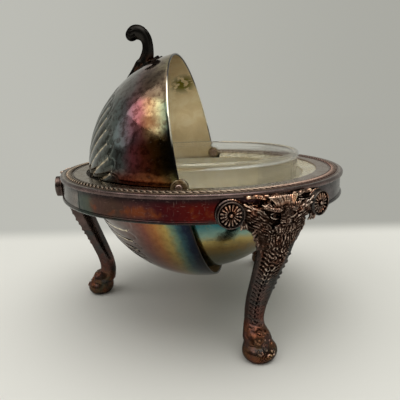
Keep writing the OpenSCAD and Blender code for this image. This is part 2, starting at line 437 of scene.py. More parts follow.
class Value:
    """A number, colour or place that varies over the surface: a node's output, to do sums with."""

    def __init__(self, paint, socket):
        self.paint, self.socket = paint, socket

    def __add__(self, other):
        return self.paint.math("ADD", self, other)

    def __sub__(self, other):
        return self.paint.math("SUBTRACT", self, other)

    def __rsub__(self, other):
        return self.paint.math("SUBTRACT", other, self)

    def __mul__(self, other):
        return self.paint.math("MULTIPLY", self, other)

    def __truediv__(self, other):
        return self.paint.math("DIVIDE", self, other)

    def at_least(self, other):
        return self.paint.math("MAXIMUM", self, other)

    def fade(self, start, end, low=0.0, high=1.0):
        """Eases from low to high as the value goes from start to end."""
        limits = (start, end, low, high)
        return self.paint.new(
            "ShaderNodeMapRange", self, *limits, get="Result", interpolation_type="SMOOTHSTEP")

    def wander(self, amount, scale):
        """The value, shifted about by noise."""
        return self + (self.paint.noise(scale) - 0.5) * (2 * amount)

    def ramp(self, *stops):
        """A colour by the value, from stops of (value, red, green, blue)."""
        last = stops[-1][0]
        colours = self.paint.new("ShaderNodeValToRGB", self / last, get="Color")
        elements = colours.socket.node.color_ramp.elements
        while len(elements) < len(stops):
            elements.new(1.0)
        for element, (at, *colour) in zip(elements, stops):
            element.position = at / last
            element.color = (*colour, 1.0)
        return colours


class Paint:
    """Makes a node tree from places: millimetres on the model at rest, or a world's directions."""

    def __init__(self, tree, shader="Principled BSDF", space="Object"):
        self.tree = tree
        self.shader = tree.nodes[shader]
        self.place = self.new("ShaderNodeTexCoord", get=space)
        if space == "Object":
            self.place = self.vector("MULTIPLY", self.place, (1 / MM,) * 3)
        self.x, self.y, self.z = (
            self.new("ShaderNodeSeparateXYZ", self.place, get=axis) for axis in "XYZ")

    def new(self, kind, *values, get=0, **settings):
        """One output of a new node, whose first inputs take the values given."""
        node = self.tree.nodes.new(kind)
        for key, value in settings.items():
            setattr(node, key, value)
        for socket, value in zip(node.inputs, values):
            self.feed(socket, value)
        return Value(self, node.outputs[get])

    def feed(self, socket, value):
        if isinstance(value, Value):
            self.tree.links.new(value.socket, socket)
        elif socket.type == "RGBA":
            socket.default_value = (*value, 1.0)
        else:
            socket.default_value = value

    def shade(self, values):
        """Sets or feeds the shader's own inputs by name."""
        for name, value in values.items():
            self.feed(self.shader.inputs[name], value)

    def math(self, operation, a, b, clamp=False):
        return self.new("ShaderNodeMath", a, b, operation=operation, use_clamp=clamp)

    def vector(self, operation, a, b=(0, 0, 0), get=0):
        return self.new("ShaderNodeVectorMath", a, b, get=get, operation=operation)

    def reach(self, point):
        """Distance from a point."""
        return self.vector("DISTANCE", self.place, point, "Value")

    def along(self, direction, origin=(0, 0, 0)):
        """How far a point is along a direction from an origin."""
        offset = self.vector("SUBTRACT", self.place, origin)
        return self.vector("DOT_PRODUCT", offset, direction, "Value")

    def near(self, point, inner, outer):
        """1 within a distance of a point, easing to 0."""
        return self.reach(point).fade(outer, inner)

    def bearing(self):
        """The angle round Z in degrees, from 0 to 360."""
        turn = self.math("ARCTAN2", self.y, self.x) * (180 / math.pi)
        return self.math("MODULO", turn + 360.0, 360.0)

    def noise(self, scale, detail=3.0, roughness=0.55, warp=0.0, stretch=None):
        """Noise by features per millimetre."""
        at = self.place if stretch is None else self.vector("MULTIPLY", self.place, stretch)
        noise = self.new("ShaderNodeTexNoise", at, get="Fac")
        inputs = noise.socket.node.inputs
        settings = {"Scale": scale, "Detail": detail, "Roughness": roughness, "Distortion": warp}
        for name, value in settings.items():
            inputs[name].default_value = value
        return noise

    def uneven(self, scale, low, high, detail=4.0):
        """A number that varies over the surface between two limits, for a roughness."""
        return self.noise(scale, detail).fade(0.3, 0.8, low, high)

    def attribute(self, name):
        return self.new("ShaderNodeAttribute", get="Fac", attribute_name=name)

    def mix(self, factor, a, b, blend="MIX"):
        """Colour a where the factor is 0, and b over it, or multiplied into it, where it is 1."""
        mixed = self.new("ShaderNodeMix", factor, get=2, data_type="RGBA", blend_type=blend)
        inputs = mixed.socket.node.inputs
        self.feed(inputs[6], a)
        self.feed(inputs[7], b)
        return mixed

    def scratched(self, colour, scale, stretches, edge, amount, tint):
        """A colour with fine straight marks in a few directions."""
        marks = [
            self.noise(scale, 2.0, 0.5, stretch=stretch).fade(edge, edge + 0.05)
            for stretch in stretches
        ]
        most = marks[0]
        for mark in marks[1:]:
            most = most.at_least(mark)
        return self.mix(most * amount, colour, tint)

    def bump(self, height, depth, below=None):
        """A normal from a height from 0 to 1, by its depth in millimetres."""
        normal = self.new("ShaderNodeBump", get="Normal")
        inputs = normal.socket.node.inputs
        inputs["Strength"].default_value = 1.0
        inputs["Distance"].default_value = depth * MM
        self.feed(inputs["Height"], height)
        if below is not None:
            self.feed(inputs["Normal"], below)
        return normal

    def metal(self, colour, rough, grain, waves=None, sheen=1.0):
        """A metal's surface; a sheen below 1 dulls what it reflects at a shallow angle.

        Its fine grain and broad waves are (noise scale, depth in millimetres), and the grain's
        noise may have its own roughness after them.
        """
        below = self.bump(self.noise(waves[0], 2.0), waves[1]) if waves else None
        scale, depth, *own = grain
        self.shade({
            "Metallic": 1.0, "Specular Tint": (sheen,) * 3, "Base Color": colour,
            "Roughness": rough, "Normal": self.bump(self.noise(scale, 3.0, *own), depth, below),
        })


def dome_plate(paint):
    """Heat-coloured plate: bands of the film's colours run back from the rim, over dull silver,
    with painted shade and a painted highlight laid over them.
    """
    from_rim = paint.along(POLE, CENTRE)
    back = from_rim.wander(3.5, 0.06).wander(1.2, 0.30)
    height = paint.along((0, 0, 1), CENTRE).wander(3.0, 0.08)
    bright = back.ramp(
        (0, 0.10, 0.13, 0.09), (2.5, 0.30, 0.32, 0.19), (5, 0.52, 0.46, 0.25),
        (8.5, 0.50, 0.30, 0.15), (12.5, 0.34, 0.12, 0.12), (17, 0.22, 0.10, 0.12),
        (21, 0.14, 0.12, 0.13), (25, 0.15, 0.18, 0.175), (32, 0.12, 0.135, 0.12),
        (61, 0.12, 0.125, 0.11),
    )
    dark = back.ramp(
        (0, 0.004, 0.007, 0.008), (5, 0.030, 0.017, 0.003), (9, 0.10, 0.036, 0.006),
        (14, 0.24, 0.050, 0.030), (18.5, 0.42, 0.11, 0.13), (22, 0.30, 0.17, 0.19),
        (25, 0.24, 0.27, 0.265), (30, 0.10, 0.125, 0.115), (36, 0.11, 0.12, 0.10),
        (61, 0.12, 0.125, 0.11),
    )
    crown = back.ramp(
        (0, 0.42, 0.36, 0.22), (6, 0.36, 0.27, 0.19), (10, 0.40, 0.24, 0.18),
        (13, 0.27, 0.16, 0.16), (17, 0.22, 0.20, 0.19), (26, 0.24, 0.23, 0.21),
        (36, 0.17, 0.18, 0.16), (61, 0.15, 0.16, 0.14),
    )
    # a thread of clean orange just above the ring, and behind it near-black, a painted shade where
    # the dome sinks to the ring
    foot = back.ramp(
        (0, 0.10, 0.085, 0.03), (8, 0.17, 0.06, 0.018), (22, 0.13, 0.035, 0.022),
        (36, 0.012, 0.012, 0.010), (61, 0.05, 0.05, 0.045),
    )
    under = back.ramp(
        (0, 0.012, 0.014, 0.02), (3, 0.015, 0.022, 0.04), (6, 0.045, 0.10, 0.11),
        (9, 0.17, 0.24, 0.15), (12, 0.40, 0.29, 0.09), (17, 0.36, 0.15, 0.05),
        (23, 0.20, 0.07, 0.05), (30, 0.16, 0.10, 0.09), (38, 0.15, 0.12, 0.11),
        (61, 0.13, 0.12, 0.11),
    )
    colour = paint.mix((height + back * 0.5).fade(22, 29), dark, bright)
    colour = paint.mix(height.fade(34, 42), colour, crown)
    # an arch of painted shade that dims the window's reflection above its lit stretch
    shade_arch = height.fade(34.5, 37) * height.fade(52, 47) * back.fade(16, 10, 0, 0.82)
    colour = paint.mix(shade_arch, colour, (0.085, 0.055, 0.034))
    colour = paint.mix(height.fade(9, 3) * back.fade(46, 26), colour, foot)
    colour = paint.mix(height.fade(-2, -14), colour, under)
    stained = paint.mix(1.0, colour, (0.30, 0.20, 0.17), "MULTIPLY")
    clouds = paint.noise(0.35, 5.0, 0.65).fade(0.44, 0.64, 0, 0.8)
    colour = paint.mix(clouds * height.fade(-14, -2, 0.35, 1), colour, stained)
    burnt = paint.near((-53, 14, RING_TOP + 27), 2, 9) * paint.noise(0.2, 4.0).fade(0.36, 0.54)
    colour = paint.mix(burnt * 0.85, colour, stained)
    stretches = [(0.2, 4, 4), (4, 2, 0.2), (2, 0.25, 2)]
    colour = paint.scratched(colour, 1.1, stretches, 0.70, 0.22, (0.6, 0.5, 0.45))
    inside = paint.reach(CENTRE).fade(DOME_R - 0.4, DOME_R - 0.6)
    colour = paint.mix(inside, colour, inner_tint(paint))
    # the rim's very edge: near-white along the stretch where the window is reflected, a painted
    # highlight, and near-black elsewhere, a painted shade
    glint_span = height.fade(16, 21) * height.fade(47, 41)
    edge = paint.mix(glint_span, (0.03, 0.022, 0.020), (0.85, 0.80, 0.66))
    colour = paint.mix(from_rim.fade(0.35, 0.2), colour, edge)
    rough = paint.uneven(0.3, 0.07, 0.16).at_least(inside * 0.34)
    paint.metal(colour, rough, (1.2, 0.010), (0.12, 0.14))


def inner_tint(paint):
    """Dull tan silver inside the dome, with olive blots near its rim."""
    tan = paint.noise(0.10, 5.0, 0.6, 0.6).ramp(
        (0, 0.62, 0.50, 0.31), (0.45, 0.84, 0.71, 0.50), (0.6, 0.92, 0.81, 0.62),
        (1, 0.96, 0.90, 0.78),
    )
    blot = paint.near((34, 15, RING_TOP + 45), 3, 11) * paint.noise(0.25, 4.0).fade(0.42, 0.52)
    return paint.mix(blot, tan, (0.20, 0.18, 0.03))


def bowl_plate(paint):
    """The fixed bowl: blue-green under the ring, then gold and olive; clouded cream inside."""
    down = (RING_TOP - paint.z).wander(3.2, 0.05).wander(1.4, 0.3)
    colour = down.ramp(
        (0, 0.02, 0.03, 0.03), (15, 0.02, 0.035, 0.035), (20, 0.035, 0.15, 0.17),
        (25, 0.28, 0.42, 0.34), (29, 0.60, 0.46, 0.16), (34, 0.32, 0.20, 0.06),
        (40, 0.17, 0.15, 0.07), (48, 0.13, 0.14, 0.09), (60, 0.12, 0.13, 0.09),
    )
    cloud = paint.noise(0.16, 5.0, 0.6, 0.8).fade(0.5, 0.7, 0, 0.7)
    colour = paint.mix(cloud, colour, (0.16, 0.20, 0.14))
    speck = paint.noise(0.6, 5.0, 0.7).fade(0.55, 0.8, 0, 0.6)
    colour = paint.mix(speck, colour, (0.03, 0.03, 0.02))
    inside = paint.reach(CENTRE).fade(BOWL_R - 0.3, BOWL_R - 0.5)
    cream = paint.noise(0.14, 5.0, 0.6, 0.5).ramp(
        (0, 0.80, 0.70, 0.48), (0.42, 0.92, 0.85, 0.66), (0.6, 0.97, 0.93, 0.80),
        (1, 0.98, 0.95, 0.88),
    )
    colour = paint.mix(inside, colour, cream)
    colour = paint.scratched(colour, 1.0, [(0.25, 3, 3), (3, 2, 0.25)], 0.69, 0.25, (0.5, 0.5, 0.4))
    rough = paint.uneven(0.3, 0.14, 0.28).at_least(inside * 0.4)
    paint.metal(colour, rough, (2.0, 0.012), (0.10, 0.3))
    # the unpolished inside has a milky bloom, so it is only partly a mirror
    paint.shade({"Metallic": 1.0 - inside * 0.95})


def band_plate(paint):
    """The skirt band: deep reds of tarnish round the ring, paler up to its seam and dark just past
    it, partly a painted reflection of a pale wall and a dim room.
    """
    turn = paint.bearing().wander(5.0, 0.12).wander(2.0, 0.5)
    # colour round the ring: tarnish, with a painted reflection of a pale wall up to the seam at 141
    # degrees and of the dim room just past it
    around = turn.ramp(
        (0, 0.040, 0.037, 0.037), (60, 0.068, 0.060, 0.056), (130, 0.115, 0.098, 0.085),
        (140.5, 0.16, 0.135, 0.12), (142, 0.032, 0.050, 0.042), (147, 0.060, 0.070, 0.050),
        (151, 0.070, 0.036, 0.029), (160, 0.062, 0.035, 0.026), (168, 0.060, 0.024, 0.024),
        (177, 0.045, 0.006, 0.008), (185, 0.082, 0.008, 0.006), (192, 0.074, 0.006, 0.005),
        (200, 0.038, 0.011, 0.013), (235, 0.032, 0.018, 0.021), (270, 0.040, 0.031, 0.033),
        (330, 0.040, 0.037, 0.037), (360, 0.040, 0.037, 0.037),
    )
    height = ((paint.z - BAND_LOW) / (BAND_HIGH - BAND_LOW)).wander(0.09, 0.25)
    # painted shade: near-black along the band's top, under the flange's lip
    colour = paint.mix(height.fade(0.60, 0.92, 0, 0.9), around, (0.012, 0.009, 0.010))
    colour = paint.mix(height.fade(0.2, 0.02, 0, 0.8), colour, (0.022, 0.034, 0.032))
    hot = height.fade(0.1, 0.35) * height.fade(0.75, 0.5) * paint.noise(0.10, 4.0).fade(0.47, 0.62)
    reds = turn.fade(146, 152) * turn.fade(215, 200)
    colour = paint.mix(hot * 0.6 * reds, colour, (0.20, 0.050, 0.012))
    stretches = [(4, 4, 0.25), (0.25, 0.25, 5), (2.5, 0.4, 2.5)]
    colour = paint.scratched(colour, 1.0, stretches, 0.67, 0.30, (0.34, 0.22, 0.19))
    paint.metal(colour, paint.uneven(0.3, 0.14, 0.28), (1.6, 0.012), (0.18, 0.15))


def flange_plate(paint):
    """Dull taupe silver, rosier towards the front legs, and dark along the lip."""
    colour = paint.noise(0.12, 5.0, 0.6, 0.5).ramp(
        (0, 0.17, 0.12, 0.08), (0.45, 0.27, 0.21, 0.145), (0.6, 0.33, 0.26, 0.18),
        (1, 0.40, 0.33, 0.25),
    )
    colour = paint.mix(paint.y.fade(-20, -60, 0, 0.5), colour, (0.28, 0.18, 0.15))
    level = paint.vector("MULTIPLY", paint.place, (1, 1, 0))
    out = paint.vector("LENGTH", level, get="Value")
    dark = paint.noise(0.16, 4.0).ramp(
        (0, 0.045, 0.030, 0.030), (0.5, 0.11, 0.075, 0.07), (1, 0.30, 0.19, 0.18))
    colour = paint.mix(out.wander(0.5, 0.3).fade(LIP_R - 1.6, LIP_R - 0.8), colour, dark)
    speck = paint.noise(0.8, 4.0, 0.7).fade(0.56, 0.72, 0, 0.7)
    colour = paint.mix(speck, colour, (0.07, 0.042, 0.03))
    colour = paint.scratched(colour, 1.2, [(0.3, 3, 3), (3, 0.3, 3)], 0.68, 0.3, (0.6, 0.5, 0.42))
    paint.metal(colour, paint.uneven(0.4, 0.20, 0.36), (1.8, 0.02), (0.15, 0.12))


def rope_trim(paint):
    """Rope beads, tan on their crowns and brown between them."""
    colour = (paint.z - RING_TOP).wander(0.2, 0.4).ramp(
        (0, 0.055, 0.036, 0.026), (0.35, 0.15, 0.105, 0.075), (0.65, 0.33, 0.255, 0.19),
        (0.95, 0.48, 0.39, 0.30),
    )
    colour = paint.mix(paint.y.fade(-20, -60, 0, 0.5), colour, (0.22, 0.11, 0.10))
    paint.metal(colour, paint.uneven(0.7, 0.22, 0.40), (2.5, 0.02))


def collar_plate(paint):
    """The bowl's silver collar, cream with brown water marks."""
    colour = paint.noise(0.14, 5.0, 0.6, 0.5).ramp(
        (0, 0.60, 0.50, 0.33), (0.42, 0.86, 0.76, 0.56), (0.6, 0.94, 0.87, 0.68),
        (1, 0.96, 0.92, 0.80),
    )
    marks = paint.noise(0.35, 5.0, 0.65, 1.0).fade(0.52, 0.68, 0, 0.7)
    colour = paint.mix(marks, colour, (0.40, 0.31, 0.18))
    paint.metal(colour, paint.uneven(0.4, 0.20, 0.42), (0.3, 0.10))


def leg_casting(paint):
    """Tarnished brown-black, with rose copper on the high points and grey on the plain borders; the
    dark of the recesses and the rose of the proudest points are partly painted shade and painted
    highlight.
    """
    # colour by how proud the surface stands: tarnish in the recesses and worn copper on the high
    # points, together with painted shade in the recesses and a painted highlight on the proudest
    # points
    tone = paint.math("ADD", paint.attribute("proud").wander(0.015, 0.5) * 3.9, 0.27, clamp=True)
    colour = tone.ramp(
        (0, 0.006, 0.003, 0.002), (0.25, 0.020, 0.010, 0.006), (0.42, 0.052, 0.028, 0.020),
        (0.60, 0.105, 0.062, 0.046), (0.8, 0.23, 0.155, 0.12), (1, 0.56, 0.42, 0.34),
    )
    head = paint.z.fade(73, 78) * paint.noise(0.15, 3.0).fade(0.4, 0.6)
    cool = paint.noise(0.10, 4.0).fade(0.42, 0.62)
    warm = paint.noise(0.15, 4.0, 0.6, 0.5).fade(0.52, 0.66)
    border = paint.noise(0.09, 4.0, 0.6, 0.4).ramp(
        (0, 0.022, 0.022, 0.020), (0.40, 0.050, 0.052, 0.050), (0.53, 0.075, 0.055, 0.050),
        (1, 0.20, 0.13, 0.12),
    )
    rusty = paint.z.fade(42, 14) * paint.noise(0.12, 4.0).fade(0.38, 0.58)
    gold = paint.z.fade(20, 10) * paint.noise(0.2, 4.0).fade(0.42, 0.56)
    colour = paint.mix(head, colour, (2.4, 2.0, 1.7), "MULTIPLY")
    colour = paint.mix(cool * 0.6, colour, (0.60, 0.72, 0.78), "MULTIPLY")
    colour = paint.mix(warm * 0.55, colour, (1.6, 0.85, 0.55), "MULTIPLY")
    colour = paint.mix(paint.attribute("plain") * 0.92, colour, border)
    colour = paint.mix(rusty * 0.85, colour, (1.6, 0.86, 0.72), "MULTIPLY")
    colour = paint.mix(gold * 0.9, colour, (1.45, 1.2, 0.75), "MULTIPLY")
    paint.metal(colour, paint.uneven(0.5, 0.18, 0.34), (0.5, 0.06, 0.6), sheen=0.6)


def thumb_casting(paint):
    """The thumbpiece, nearly black, with rusty brown in its foot."""
    colour = paint.noise(0.12, 4.0).ramp(
        (0, 0.010, 0.009, 0.008), (0.5, 0.022, 0.020, 0.018), (1, 0.050, 0.042, 0.036))
    foot = paint.noise(0.22, 4.0).fade(0.46, 0.6) * paint.z.fade(RING_TOP + 62, RING_TOP + 56)
    colour = paint.mix(foot * 0.8, colour, (0.075, 0.032, 0.018))
    paint.metal(colour, paint.uneven(0.3, 0.2, 0.34, 3.0), (0.3, 0.06), sheen=0.3)


def pivot_plate(paint):
    """Ears, lugs and washers: yellowish silver with patches of brown."""
    colour = paint.noise(0.5, 4.0).ramp(
        (0, 0.10, 0.06, 0.03), (0.45, 0.26, 0.18, 0.10), (0.6, 0.45, 0.36, 0.23),
        (1, 0.6, 0.52, 0.4),
    )
    paint.metal(colour, paint.uneven(0.8, 0.2, 0.4, 3.0), (1.5, 0.03))


def screw_metal(paint):
    """Screws and nuts: grey steel with rose copper showing."""
    colour = paint.noise(0.9, 4.0).ramp(
        (0, 0.16, 0.10, 0.08), (0.5, 0.42, 0.30, 0.26), (1, 0.66, 0.54, 0.48))
    paint.metal(colour, paint.uneven(1.2, 0.22, 0.4, 3.0), (2.5, 0.02))


def liner_glass(paint):
    """Clear pressed glass with a slight warm cast and faint ripples."""
    paint.shade({
        "Transmission Weight": 1.0, "IOR": 1.5, "Alpha": 0.62,
        "Base Color": paint.noise(0.05, 2.0).ramp((0, 0.93, 0.92, 0.86), (1, 0.97, 0.96, 0.91)),
        "Roughness": paint.noise(0.3, 4.0).fade(0.5, 0.9, 0.0, 0.06),
        "Normal": paint.bump(paint.noise(0.12, 2.0), 0.08),
    })


def painted(name, make):
    """A material whose nodes a function makes."""
    material = bpy.data.materials.new(name)
    material.use_nodes = True
    make(Paint(material.node_tree))
    return material


MATERIALS = {make.__name__: painted(make.__name__, make) for make in (
    dome_plate, bowl_plate, band_plate, flange_plate, rope_trim, collar_plate, leg_casting,
    thumb_casting, pivot_plate, screw_metal, liner_glass,
)}


# ---- ring ----

def build_flange():
    top, lip = RING_TOP, LIP_R
    outline = [
        (OPEN_R, top - FLANGE_T), (lip - 0.9, top - FLANGE_T), (lip - 0.7, top - FLANGE_T - 0.7),
        (lip, top - FLANGE_T - 0.7), (lip, top - 0.5), (lip - 0.6, top), (OPEN_R, top),
    ]
    flange = lathe("flange", rounded(outline, 0.35), steps=288)
    # room for the ends of the pivot screws
    relief = [(0, EAR_IN), (1.9, EAR_IN), (1.9, 65), (0, 65)]
    for side in (-1, 1):
        cut(flange, lathe("relief", relief, 32, where=on_pivot(side)))
    keep(flange, "stand", "flange_plate", "top_flange")


def build_rope():
    """Slanted beads between two fine wires."""
    count, slant = 168, math.radians(38)
    length, across, rise = 2.55, 0.78, 0.82
    middle = (ROPE_IN + ROPE_OUT) / 2
    rows, columns = 7, 12
    tilt = np.radians(np.linspace(-84, 84, rows))
    turn = np.radians(np.arange(columns) * 360 / columns)
    bead = np.empty((rows, columns, 3))
    bead[..., 0] = length * np.sin(tilt)[:, None]
    bead[..., 1] = across * np.cos(tilt)[:, None] * np.cos(turn)
    bead[..., 2] = rise * np.cos(tilt)[:, None] * np.sin(turn)
    bead = bead.reshape(-1, 3)
    ends = [list(range(columns)), list(range(len(bead) - columns, len(bead)))]
    bead_faces = grid_faces(rows - 1, columns, rows) + ends
    points, faces = [], []
    for i in range(count):
        a = 2 * math.pi * i / count
        radial = np.array([math.cos(a), math.sin(a), 0])
        tangent = np.array([-math.sin(a), math.cos(a), 0])
        along = math.cos(slant) * tangent + math.sin(slant) * radial
        over = math.cos(slant) * radial - math.sin(slant) * tangent
        axes = np.stack([along, over, [0, 0, 1]])
        points.append(bead @ axes + middle * radial + [0, 0, RING_TOP + 0.05])
        faces += [[k + i * len(bead) for k in face] for face in bead_faces]
    pieces = [make_object("rope_beads", np.vstack(points), faces, SMOOTH)]
    for r in (ROPE_IN + 0.1, ROPE_OUT - 0.1):
        pieces.append(lathe("rope_wire", arc(r, RING_TOP, 0.32, 0, 330, 11), crease=SMOOTH))
    keep(joined("rope", pieces), "stand", "rope_trim", "rope_border")


def build_band():
    """One strip bent round, with a narrow gap at its seam and a strap behind the gap."""
    inner = BAND_R - BAND_T
    outline = [
        (inner, BAND_LOW), (BAND_R - 0.1, BAND_LOW), (BAND_R, BAND_LOW + 0.4),
        (BAND_R - 0.12, (BAND_LOW + BAND_HIGH) / 2), (BAND_R, BAND_HIGH - 0.2), (BAND_R, BAND_HIGH),
        (inner, BAND_HIGH),
    ]
    seam_at, seam_gap = 141, 0.35
    band = lathe("band", rounded(outline, 0.3), 300, seam_at + seam_gap / 2, 360 - seam_gap)
    strap = ring_outline(inner - 0.6, inner, BAND_LOW + 0.4, BAND_HIGH - 0.4, 0.2)
    backing = lathe("band_joint", strap, 12, seam_at - 3, 6)
    keep(band, "stand", "band_plate", "skirt_band")
    keep(backing, "stand", "band_plate")


def build_bead_wire():
    """A half-round wire along the band's lower edge, which stops short of each leg."""
    bead_r, clear = 0.8, 21.5
    outline = arc(BAND_R, BAND_LOW + bead_r, bead_r, -90, 90, 8)
    angles = list(LEG_ANGLES.values())
    wires = []
    for angle, following in zip(angles, angles[1:] + angles[:1]):
        start = angle + clear
        span = (following - clear - start) % 360
        wires.append(lathe("wire", outline, 90, start, span, crease=60))
    keep(joined("under_bead", wires), "stand", "band_plate", "lower_bead")


# ---- bowl, collar and glass ----

def build_bowl():
    inner = BOWL_R - BOWL_T
    rim = math.degrees(math.asin((BOWL_RIM - RING_TOP) / BOWL_R))
    outline = arc(0, RING_TOP, BOWL_R, -90, rim, 60) + arc(0, RING_TOP, inner, rim, -90, 60)
    keep(lathe("bowl", outline), "stand", "bowl_plate", "bowl_shell")


def build_collar():
    """The slope from the bowl's rim up to the flange, round the front half only."""
    drop = RING_TOP - BOWL_RIM
    inner = math.sqrt((BOWL_R - BOWL_T) ** 2 - drop ** 2)
    outer = math.sqrt(BOWL_R ** 2 - drop ** 2)
    top = RING_TOP - 0.6
    outline = [
        (inner, BOWL_RIM), (outer, BOWL_RIM), (OPEN_R - 1.4, top - BOWL_T - 0.1),
        (OPEN_R, top - BOWL_T), (OPEN_R, top), (OPEN_R - 1.6, top - 0.1),
        (inner + 0.5, BOWL_RIM + BOWL_T + 0.15), (inner, BOWL_RIM + BOWL_T),
    ]
    middle, span = 270, 170
    collar = lathe("collar", rounded(outline, 0.3), 150, middle - span / 2, span)
    keep(collar, "stand", "collar_plate", "bowl_collar")


def build_glass():
    overhang = 1.1
    body_r = GLASS_RIM_R - overhang
    centre = GLASS_LOW + body_r
    bead = (GLASS_T + overhang) / 2
    outline = arc(0, centre, body_r, -90, -3, 60)
    outline += arc(GLASS_RIM_R - bead, GLASS_TOP - bead, bead, -55, 235, 22)
    outline += arc(0, centre, body_r - GLASS_T, -3, -90, 60)
    # with a higher crease the bead bends the wall's normals, and the wall acts as a lens
    keep(lathe("glass", outline, crease=30), "liner", "liner_glass", "glass_liner")


# ---- dome ----

def build_dome():
    """A pressed shell whose gadroons run from the plain crown to round tips behind the rim."""
    flutes, samples = 44, 8
    columns = flutes * samples
    crown, tip_low, tip_high = 12.0, 56.5, 61.0
    depth, twist = 0.75, 0.18
    down = np.concatenate([
        np.arange(0.6, 12, 2.2), np.arange(12, 54, 1.3), np.arange(54, 64, 0.5),
        np.linspace(64, 90, 18),
    ])[:, None]
    turn = np.arange(columns) * 360 / columns
    across = ((turn - twist * (down - 40)) % (360 / flutes)) * flutes / 360
    lobe = np.sin(np.pi * across) ** 0.62
    tip = tip_low + (tip_high - tip_low) * np.sin(np.pi * across) ** 0.8
    within = np.clip((tip - down) / 0.8 + 0.5, 0, 1)
    groove = 0.32 * np.exp(-(((down - tip) / 0.7) ** 2))
    sink = depth * ease(down - crown, 12) * (1 - lobe) * within + groove
    phi, theta = np.radians(down), np.radians(turn)

    def sheet(r):
        """Rows of points from the pole down to the rim."""
        level, rise = (r - sink) * np.sin(phi), (r - sink) * np.cos(phi)
        return np.stack([level * np.cos(theta), level * np.sin(theta), RING_TOP + rise], -1)

    half = DOME_T / 2
    roll = []
    for a in np.radians([-30, -60, -90, -120, -150]):
        r, z = DOME_R - half + half * math.cos(a), RING_TOP + half * math.sin(a) * 0.6
        roll.append(np.stack([r * np.cos(theta), r * np.sin(theta), np.full(columns, z)], -1))
    points = np.concatenate([sheet(DOME_R), np.array(roll), sheet(DOME_R - DOME_T)[::-1]])
    count = len(points)
    faces = grid_faces(count - 1, columns, count)
    poles = [[0, 0, RING_TOP + DOME_R], [0, 0, RING_TOP + DOME_R - DOME_T]]
    first, last = count * columns, count * columns + 1
    for j in range(columns):
        k = (j + 1) % columns
        faces.append([first, j, k])
        faces.append([last, (count - 1) * columns + k, (count - 1) * columns + j])
    dome = make_object("dome", np.vstack([points.reshape(-1, 3), poles]), faces, 50, TO_OPEN)
    keep(dome, "dome", "dome_plate", "dome_shell")
    bore = PIVOT_R + 0.08
    for name, side in SIDES:
        where = TO_OPEN @ on_pivot(side)
        plate = ring_outline(bore, 3.5, TAB_IN, TAB_OUT, 0.2)
        keep(lathe("dome_tab_" + name, plate, 48, where=where), "dome", "dome_plate")
        lug = ring_outline(bore, 3.5, LUG_IN, LUG_OUT, 0.25)
        keep(lathe("lug_" + name, lug, 48, where=where), "dome", "pivot_plate", "dome_lug_" + name)


# ---- pivots ----

def build_pivots():
    ear_bore, shoulder = PIVOT_R + 0.04, EAR_R - 0.7
    plate = rounded([
        (ear_bore, EAR_IN), (EAR_R, EAR_IN), (EAR_R, EAR_OUT), (shoulder, EAR_OUT),
        (shoulder - 0.05, EAR_FACE), (ear_bore, EAR_FACE),
    ], 0.18)
    bolt = rounded([
        (0.001, SHANK_END), (PIVOT_R, SHANK_END), (PIVOT_R, EAR_FACE), (1.6, EAR_FACE),
        (1.6, HEAD_EDGE), (1.3, HEAD_OUT), (0.001, HEAD_OUT),
    ], 0.15)
    ring_low = RING_TOP - 20
    ring = [(OPEN_R, ring_low), (LIP_R, ring_low), (LIP_R, RING_TOP), (OPEN_R, RING_TOP)]
    washer = ring_outline(1.25, 2.3, DOME_R + 0.05, WASHER_OUT, 0.12)
    nut = ring_outline(1.42, 2.6, SHANK_END, NUT_OUT, 0.25)
    washers, nuts = [], []
    for name, side in SIDES:
        axis = on_pivot(side)
        ear = lathe("ear_" + name, plate, 64, where=axis)
        cut(ear, lathe("ring_space", ring, 96))
        keep(ear, "stand", "pivot_plate", "pivot_ear_" + name)
        screw = lathe("pivot_bolt_" + name, bolt, 40, where=axis)
        turned = Matrix.Scale(side, 4, (1, 0, 0)) @ Matrix.Rotation(math.radians(35), 4, "X")
        slot_at = Matrix.Translation(CENTRE) @ turned
        cut(screw, slot_cutter((HEAD_OUT - 0.5, -0.25, -4), (66, 0.25, 4), slot_at))
        keep(screw, "stand", "screw_metal", "pivot_screw_" + name)
        washers.append(lathe("washer", washer, 48, where=axis))
        nuts.append(lathe("nut", nut, 6, crease=25, where=axis))
    keep(joined("washers", washers), "stand", "pivot_plate", "pivot_washers")
    keep(joined("nuts", nuts), "stand", "screw_metal", "pivot_nuts")


# ---- screws that hold the legs and the thumbpiece ----

def pan_screw(name, head_r, head_t, shank_r, length, where):
    """A slotted pan-head screw along +Z from the top of its head."""
    outline = [
        (0.001, 0), (head_r - 0.5, 0), (head_r, 0.6), (head_r, head_t), (shank_r, head_t),
        (shank_r, length), (0.001, length),
    ]
    screw = lathe(name, rounded(outline, 0.3), 40, where=where)
    return cut(screw, slot_cutter((-head_r - 1, -0.35, -1), (head_r + 1, 0.35, 0.6), where))


def build_screws():
    outwards = Matrix.Rotation(math.radians(90), 4, "Y")
    head = Matrix.Translation((BAND_R - BAND_T - 1.9, 0, LEG_SCREW_Z))
    screws = []
    for angle in LEG_ANGLES.values():
        screws.append(pan_screw("leg_screw", 2.8, 1.8, 1.5, 5.0, on_leg(angle) @ head @ outwards))
    keep(joined("leg_screws_seen", screws), "stand", "screw_metal", "leg_screws")
    head_t = 1.2
    where = on_dome(THUMB_ANGLE - 3) @ Matrix.Translation((0, 0, DOME_R - DOME_T - 0.15 - head_t))
    screw = pan_screw("thumb_screw", 2.6, head_t, 1.2, 7.0, where)
    keep(screw, "dome", "screw_metal", "thumbpiece_screw")


# ---- thumbpiece ----

